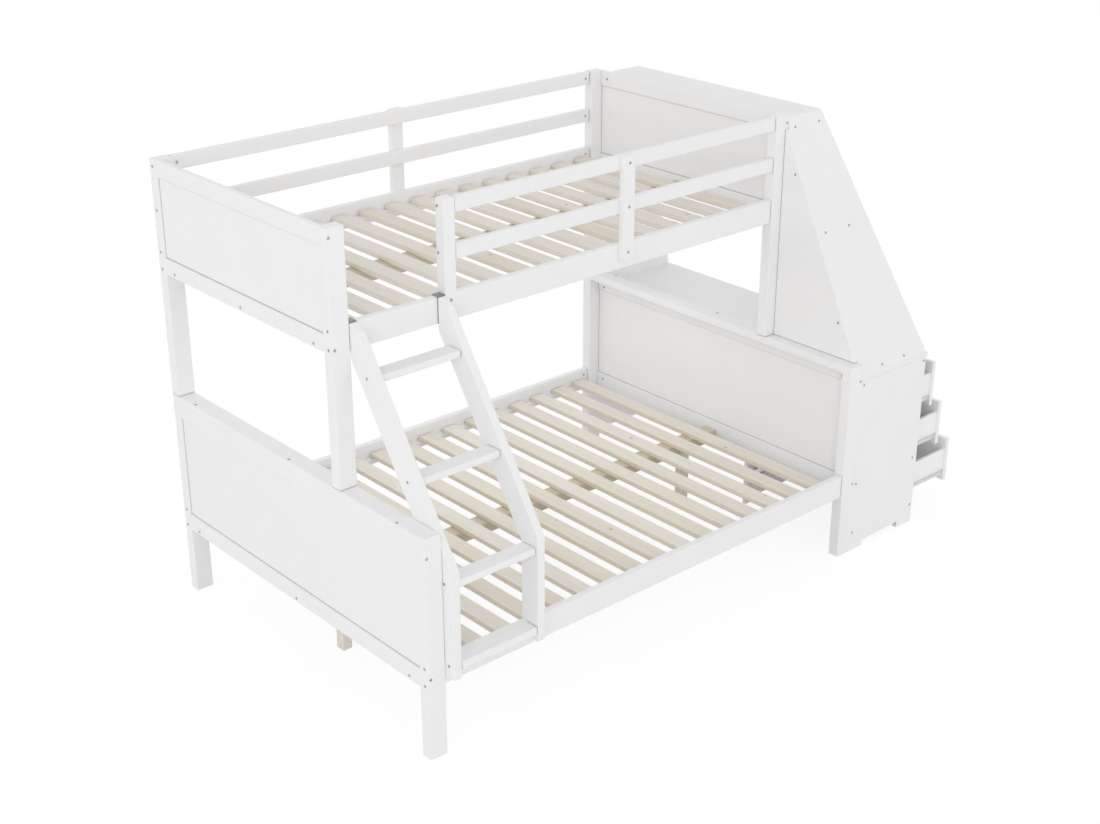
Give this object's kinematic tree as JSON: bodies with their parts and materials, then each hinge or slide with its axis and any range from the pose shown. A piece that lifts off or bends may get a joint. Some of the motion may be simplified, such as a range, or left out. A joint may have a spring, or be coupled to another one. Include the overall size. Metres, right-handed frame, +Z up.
{
  "type": "bunk bed",
  "caption": "White wooden twin-over-full bunk bed with slatted decks, guard rails, a leaning ladder, and a desk end with shelves and sliding drawers",
  "frame": {"origin": "on the floor under the middle of the whole outline, drawers standing open as pictured", "axes": "+X along the bed from the plain end to the desk end, +Y from the ladder side to the wall, +Z up"},
  "size_m": [2.7226, 1.527, 1.652],
  "materials": {
    "white_paint": "satin white paint on wood and board",
    "pine": "bare planed pine",
    "strap_steel": "grey zinc-plated steel strap",
    "runner_steel": "zinc-grey rolled steel and bolt heads",
    "drawer_board": "white foil on thin board"
  },
  "bodies": {
    "bed_frame": {"left_lower_posts": "white_paint", "left_upper_posts": "white_paint", "left_lower_end_rails": "white_paint", "left_upper_end_rails": "white_paint", "left_lower_panel": "white_paint", "left_upper_panel": "white_paint", "right_lower_posts": "white_paint", "right_upper_posts": "white_paint", "right_lower_end_rails": "white_paint", "right_upper_end_rails": "white_paint", "right_lower_panel": "white_paint", "right_upper_panel": "white_paint", "end_caps": "white_paint", "lower_front_rail": "white_paint", "lower_back_rail": "white_paint", "upper_front_rail": "white_paint", "upper_back_rail": "white_paint", "front_guard_rails": "white_paint", "back_guard_rails": "white_paint", "guard_post": "white_paint", "front_guard_support": "white_paint", "back_guard_support": "white_paint", "lower_slats": "pine", "upper_slats": "pine", "lower_beam": "pine", "upper_beam": "pine", "beam_legs": "pine", "slat_ledgers": "white_paint", "ladder_left_stile": "white_paint", "ladder_right_stile": "white_paint", "ladder_rungs": "white_paint", "ladder_step": "white_paint", "ladder_hooks": "strap_steel", "desk_top": "white_paint", "drawer_side_panel": "white_paint", "drawer_divider": "white_paint", "desk_wall_side": "white_paint", "drawer_stretchers": "white_paint", "drawer_back_board": "white_paint", "slanted_panel": "white_paint", "gap_panel": "white_paint", "shelf_wall_panel": "white_paint", "mid_shelf": "white_paint", "top_shelf": "white_paint", "shelf_aprons": "white_paint", "cabinet_runners": "runner_steel", "bolts": "runner_steel"},
    "bottom_drawer": {"bottom_drawer_front": "white_paint", "bottom_drawer_box": "drawer_board", "bottom_drawer_knob": "white_paint", "bottom_drawer_runners": "runner_steel"},
    "middle_drawer": {"middle_drawer_front": "white_paint", "middle_drawer_box": "drawer_board", "middle_drawer_knob": "white_paint", "middle_drawer_runners": "runner_steel"},
    "top_drawer": {"top_drawer_front": "white_paint", "top_drawer_box": "drawer_board", "top_drawer_knob": "white_paint", "top_drawer_runners": "runner_steel"}
  },
  "joints": [
    {"name": "bottom_drawer_slide", "type": "slide", "parent": "bed_frame", "child": "bottom_drawer", "axis": [1, 0, 0], "range_m": [-0.252, 0.048]},
    {"name": "middle_drawer_slide", "type": "slide", "parent": "bed_frame", "child": "middle_drawer", "axis": [1, 0, 0], "range_m": [-0.172, 0.128]},
    {"name": "top_drawer_slide", "type": "slide", "parent": "bed_frame", "child": "top_drawer", "axis": [1, 0, 0], "range_m": [-0.104, 0.196]}
  ]
}
